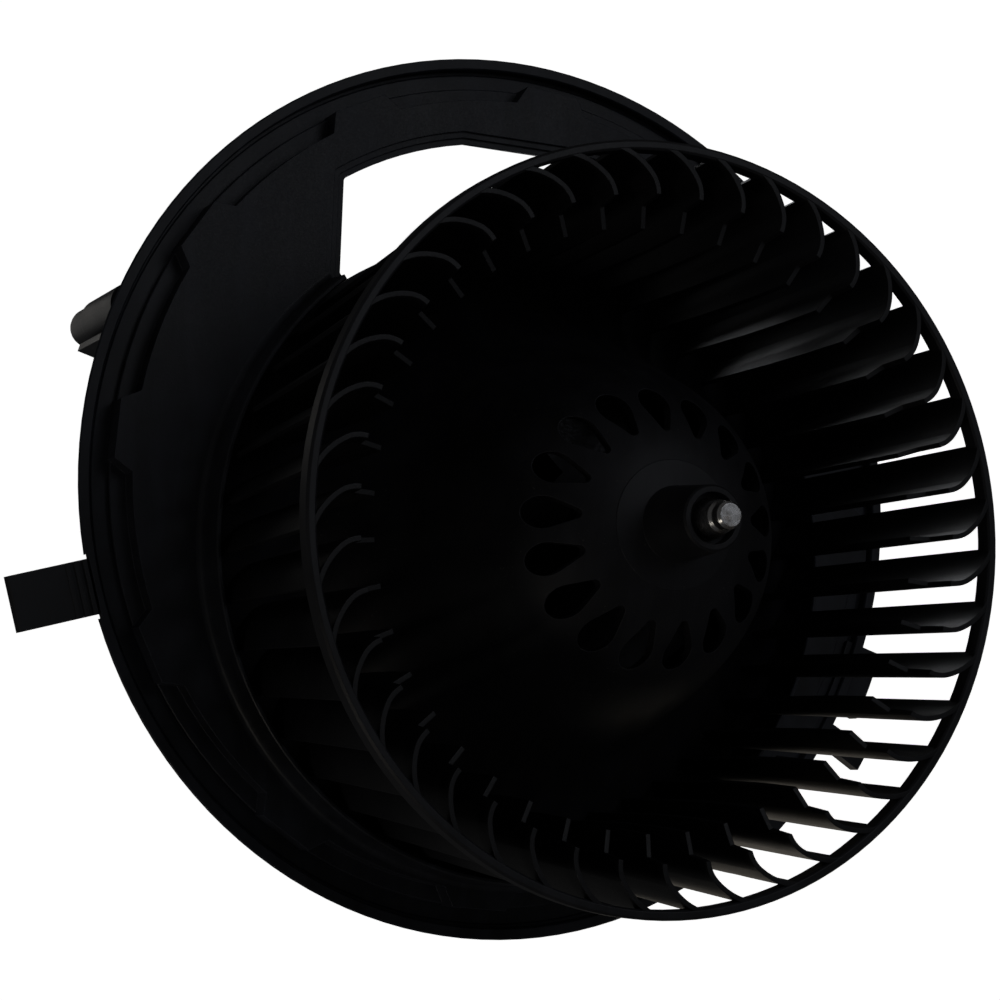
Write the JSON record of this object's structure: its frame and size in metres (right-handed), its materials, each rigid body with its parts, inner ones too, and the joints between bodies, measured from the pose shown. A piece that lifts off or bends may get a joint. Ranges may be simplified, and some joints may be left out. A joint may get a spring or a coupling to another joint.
{
  "type": "blower motor wheel",
  "caption": "Black forward-curved blower wheel on a brushed motor, carried by a round mounting flange with a regulator window and a spring latch.",
  "frame": {"origin": "on the fan axis, in the plane of the flange rim's front land", "axes": "+Z along the fan axis out of the wheel's open inlet; +Y from the fan axis towards the flange's own centre and its window; +X completes the right-handed set"},
  "size_m": [0.2067, 0.1926, 0.1509],
  "materials": {
    "flange_plastic": "fine-grained black glass-filled polymer",
    "wheel_plastic": "smooth moulded black polymer",
    "cup_plastic": "moulded black polymer",
    "connector_plastic": "moulded black polymer",
    "card_plastic": "brown moulded resin",
    "washer_plastic": "natural polymer",
    "isolator_rubber": "matt",
    "zinc_steel": "zinc-plated steel",
    "spring_steel": "bright",
    "shaft_steel": "ground and polished",
    "lamination_steel": "stacked laminations",
    "sintered_bronze": "oil-soaked sintered bush",
    "brass_strip": "stamped strip",
    "copper_wire": "enamelled copper",
    "ferrite": "ground ferrite",
    "carbon": "pressed carbon"
  },
  "bodies": {
    "housing": {"mounting_flange": "flange_plastic", "motor_cup": "cup_plastic", "motor_retainer": "cup_plastic", "retainer_screws": "zinc_steel", "isolator_ring": "isolator_rubber", "motor_can": "zinc_steel", "front_bearing": "sintered_bronze", "front_bearing_retainer": "zinc_steel", "field_magnets": "ferrite", "magnet_clips": "spring_steel", "brush_card": "card_plastic", "rear_bearing": "sintered_bronze", "rear_bearing_retainer": "zinc_steel", "brush_holders": "brass_strip", "brush_spring_a": "spring_steel", "brush_spring_b": "spring_steel", "choke_cores": "ferrite", "choke_windings": "copper_wire", "terminal_blades": "brass_strip", "connector_housing": "connector_plastic"},
    "rotor": {"wheel_hub": "wheel_plastic", "wheel_blades": "wheel_plastic", "wheel_front_ring": "wheel_plastic", "motor_shaft": "shaft_steel", "armature_core": "lamination_steel", "armature_winding": "copper_wire", "commutator_bars": "copper_wire", "commutator_core": "card_plastic", "thrust_washers": "washer_plastic"},
    "latch": {"latch_tab": "flange_plastic"},
    "brush_left": {"brush_b": "carbon"},
    "brush_right": {"brush_a": "carbon"}
  },
  "joints": [
    {"name": "wheel_spin", "type": "hinge", "parent": "housing", "child": "rotor", "pos_m": [0, 0, 0], "axis": [0, 0, 1], "continuous": true},
    {"name": "latch_flex", "type": "hinge", "parent": "housing", "child": "latch", "pos_m": [-0.08636, -0.00823, -0.0059], "axis": [0.2419, -0.9703, 0], "range_deg": [-3, 6], "stiffness_Nm_per_rad": 1.5},
    {"name": "brush_right_slide", "type": "slide", "parent": "housing", "child": "brush_right", "axis": [1, 0, 0], "range_m": [0, 0.004], "stiffness_N_per_m": 150, "springref_m": -0.02, "deforming": ["brush_spring_a"]},
    {"name": "brush_left_slide", "type": "slide", "parent": "housing", "child": "brush_left", "axis": [-1, 0, 0], "range_m": [0, 0.004], "stiffness_N_per_m": 150, "springref_m": -0.02, "deforming": ["brush_spring_b"]}
  ]
}
